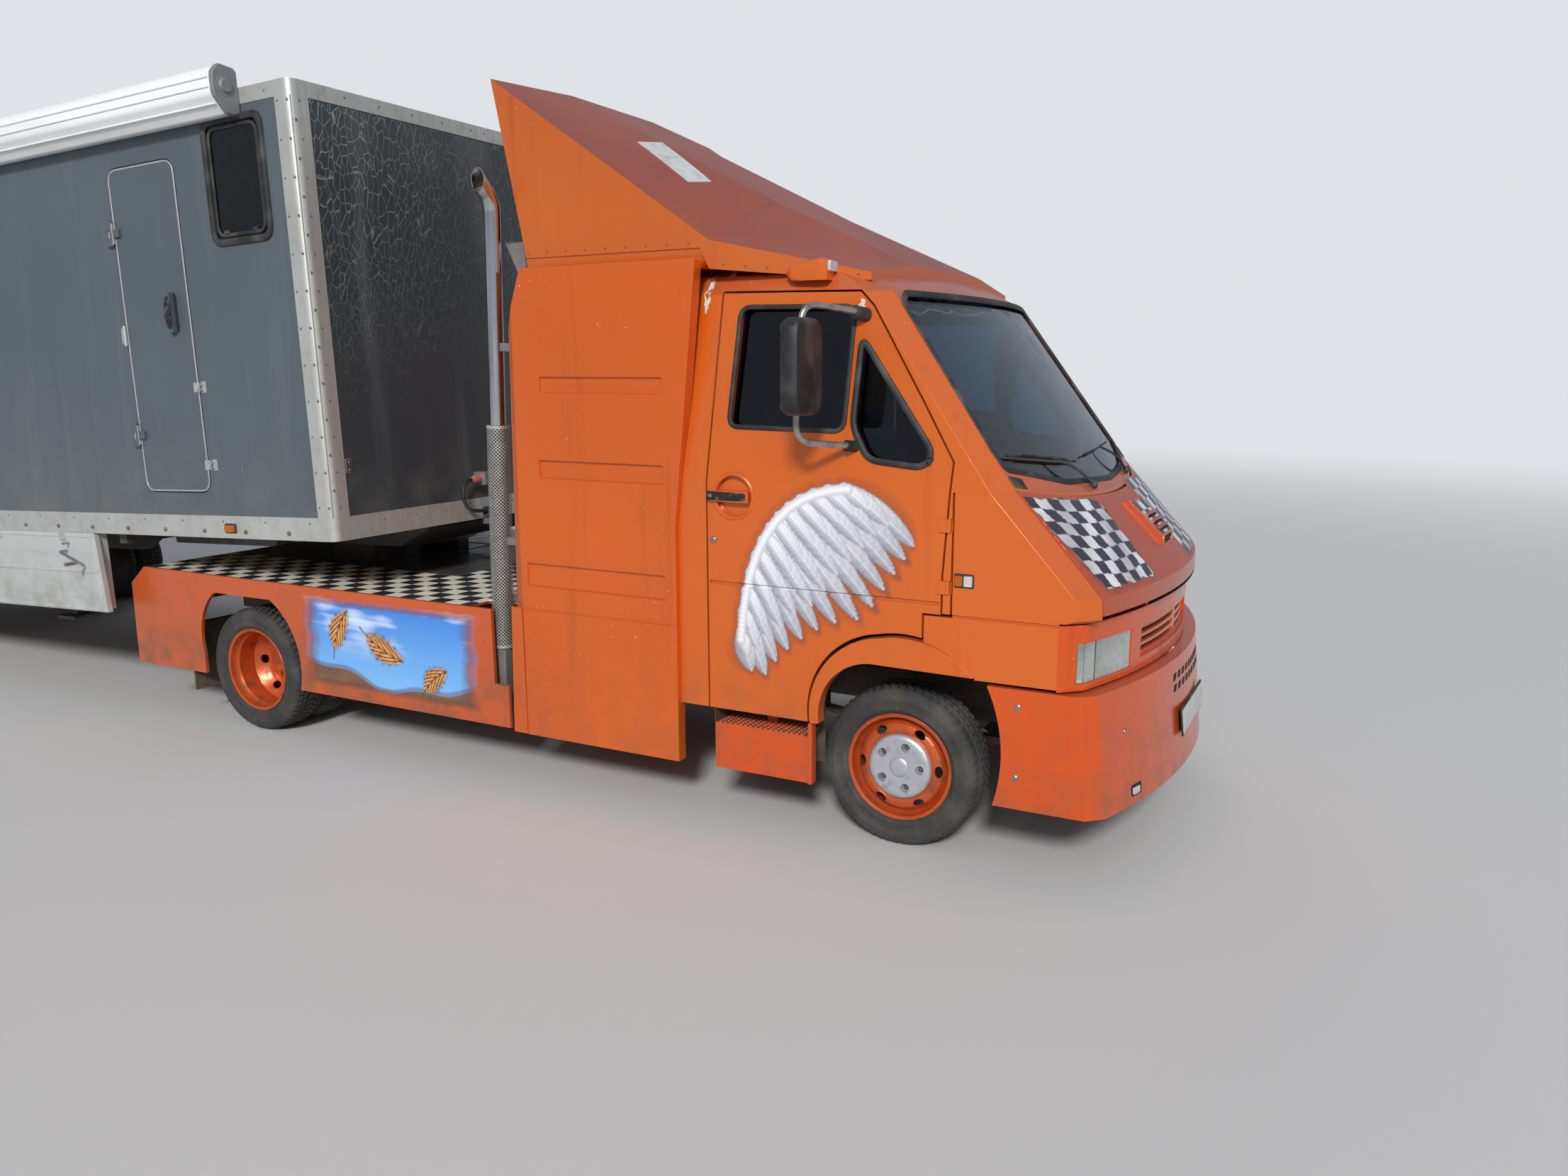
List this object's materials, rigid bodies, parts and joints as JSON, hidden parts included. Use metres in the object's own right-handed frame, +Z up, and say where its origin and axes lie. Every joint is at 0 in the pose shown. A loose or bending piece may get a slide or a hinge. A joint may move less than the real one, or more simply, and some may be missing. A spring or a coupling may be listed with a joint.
{
  "type": "decorated articulated lorry",
  "caption": "Light forward-lowered tractor unit with sleeper box, roof deflector and chequered deck, coupled to a living semi-trailer.",
  "frame": {"origin": "on the ground under the middle of the whole vehicle's box", "axes": "+X forward in the direction of travel, +Y to the vehicle's left, +Z up"},
  "size_m": [10.9932, 2.69, 3.2357],
  "materials": {
    "cab_paint": "sun-worn orange paint",
    "bonnet_paint": "faded orange paint with chequered flags",
    "deck_panel": "black and white chequered sheet",
    "frame_paint": "dark chassis paint",
    "axle_iron": "rough cast, oily",
    "engine_iron": "plain",
    "tyre_rubber": "worn black",
    "wheel_paint": "orange wheel paint",
    "trailer_wheel_paint": "silver wheel paint",
    "screen_glass": "clear",
    "window_acrylic": "smoked acrylic",
    "lamp_glass": "ribbed clear lens",
    "cabin_plastic": "grained",
    "mirror_plastic": "grained black",
    "seat_cloth": "woven",
    "flap_rubber": "dull",
    "stack_chrome": "polished tube in a pierced guard",
    "coupling_steel": "greased steel",
    "trailer_sheet": "dark grey paint, crazed at the front",
    "trailer_roof_sheet": "dull",
    "trailer_aluminium": "weathered, riveted",
    "awning_white": "white",
    "skirt_white": "grey white",
    "plug_plastic": "sun-faded red plug with a black lead",
    "trailer_floor_ply": "ply"
  },
  "bodies": {
    "truck": {"arch_trims": "cab_paint", "bumper": "cab_paint", "cab_floor": "frame_paint", "cab_shell": "cab_paint", "chassis_frame": "frame_paint", "dashboard": "cabin_plastic", "deck": "deck_panel", "deck_skirts": "cab_paint", "engine_block": "engine_iron", "exhaust_stacks": "stack_chrome", "fifth_wheel": "coupling_steel", "front_axle": "axle_iron", "front_panel": "cab_paint", "fuel_tank": "frame_paint", "headlamps": "lamp_glass", "mudflaps": "flap_rubber", "rear_axle": "axle_iron", "roof_deflector": "cab_paint", "seats": "seat_cloth", "sleeper_box": "cab_paint", "springs": "frame_paint", "steering_wheel": "cabin_plastic", "steps": "cab_paint", "windscreen": "screen_glass", "wings": "cab_paint"},
    "door_r": {"door_right": "cab_paint", "door_glass_right": "screen_glass", "mirror_right": "mirror_plastic"},
    "door_l": {"door_left": "cab_paint", "door_glass_left": "screen_glass", "mirror_left": "mirror_plastic"},
    "bonnet_lid": {"bonnet": "bonnet_paint"},
    "knuckle_r": {"knuckle_right": "axle_iron"},
    "knuckle_l": {"knuckle_left": "axle_iron"},
    "front_wheel_r": {"tyre_front_right": "tyre_rubber", "rim_front_right": "wheel_paint"},
    "front_wheel_l": {"tyre_front_left": "tyre_rubber", "rim_front_left": "wheel_paint"},
    "rear_wheels_r": {"tyres_rear_right": "tyre_rubber", "rims_rear_right": "wheel_paint"},
    "rear_wheels_l": {"tyres_rear_left": "tyre_rubber", "rims_rear_left": "wheel_paint"},
    "trailer_wheels_r": {"tyres_trailer_right": "tyre_rubber", "rims_trailer_right": "trailer_wheel_paint"},
    "trailer_wheels_l": {"tyres_trailer_left": "tyre_rubber", "rims_trailer_left": "trailer_wheel_paint"},
    "trailer_entry": {"trailer_door": "trailer_sheet"},
    "trailer": {"trailer_frame": "frame_paint", "trailer_floor": "trailer_floor_ply", "trailer_side_walls": "trailer_sheet", "trailer_front_wall": "trailer_sheet", "trailer_rear_wall": "trailer_sheet", "trailer_roof": "trailer_roof_sheet", "trailer_profiles": "trailer_aluminium", "awning": "awning_white", "trailer_skirts": "skirt_white", "trailer_windows": "window_acrylic", "trailer_axle": "axle_iron", "landing_legs": "frame_paint", "trailer_plug": "plug_plastic"}
  },
  "joints": [
    {"name": "steer_right", "type": "hinge", "parent": "truck", "child": "knuckle_r", "pos_m": [4.49658, -0.6, 0.332], "axis": [0, 0, 1], "range_deg": [-30, 30]},
    {"name": "steer_left", "type": "hinge", "parent": "truck", "child": "knuckle_l", "pos_m": [4.49658, 0.6, 0.332], "axis": [0, 0, 1], "range_deg": [-30, 30]},
    {"name": "front_wheel_right_spin", "type": "hinge", "parent": "knuckle_r", "child": "front_wheel_r", "pos_m": [4.49658, -0.765, 0.332], "axis": [0, 1, 0], "continuous": true},
    {"name": "front_wheel_left_spin", "type": "hinge", "parent": "knuckle_l", "child": "front_wheel_l", "pos_m": [4.49658, 0.765, 0.332], "axis": [0, 1, 0], "continuous": true},
    {"name": "rear_wheels_right_spin", "type": "hinge", "parent": "truck", "child": "rear_wheels_r", "pos_m": [0.89658, -0.8, 0.332], "axis": [0, 1, 0], "continuous": true},
    {"name": "rear_wheels_left_spin", "type": "hinge", "parent": "truck", "child": "rear_wheels_l", "pos_m": [0.89658, 0.8, 0.332], "axis": [0, 1, 0], "continuous": true},
    {"name": "door_right_swing", "type": "hinge", "parent": "truck", "child": "door_r", "pos_m": [4.73258, -1, 1.225], "axis": [0, 0, 1], "range_deg": [0, 70]},
    {"name": "door_left_swing", "type": "hinge", "parent": "truck", "child": "door_l", "pos_m": [4.73258, 1, 1.225], "axis": [0, 0, -1], "range_deg": [0, 70]},
    {"name": "bonnet_lift", "type": "hinge", "parent": "truck", "child": "bonnet_lid", "pos_m": [4.89658, 0, 1.48], "axis": [0, -1, 0], "range_deg": [0, 50]},
    {"name": "trailer_yaw", "type": "hinge", "parent": "truck", "child": "trailer", "pos_m": [0.98358, 0, 0.96], "axis": [0, 0, 1], "range_deg": [-60, 60]},
    {"name": "trailer_wheels_right_spin", "type": "hinge", "parent": "trailer", "child": "trailer_wheels_r", "pos_m": [-3.26199, -0.905, 0.332], "axis": [0, 1, 0], "continuous": true},
    {"name": "trailer_wheels_left_spin", "type": "hinge", "parent": "trailer", "child": "trailer_wheels_l", "pos_m": [-3.26199, 0.905, 0.332], "axis": [0, 1, 0], "continuous": true},
    {"name": "trailer_door_swing", "type": "hinge", "parent": "trailer", "child": "trailer_entry", "pos_m": [0.38989, -1.212, 2.04447], "axis": [0.0419, 0, -0.9991], "range_deg": [0, 110]}
  ],
  "couplings": [
    {"joint": "steer_left", "follows": "steer_right", "ratio": 1}
  ]
}
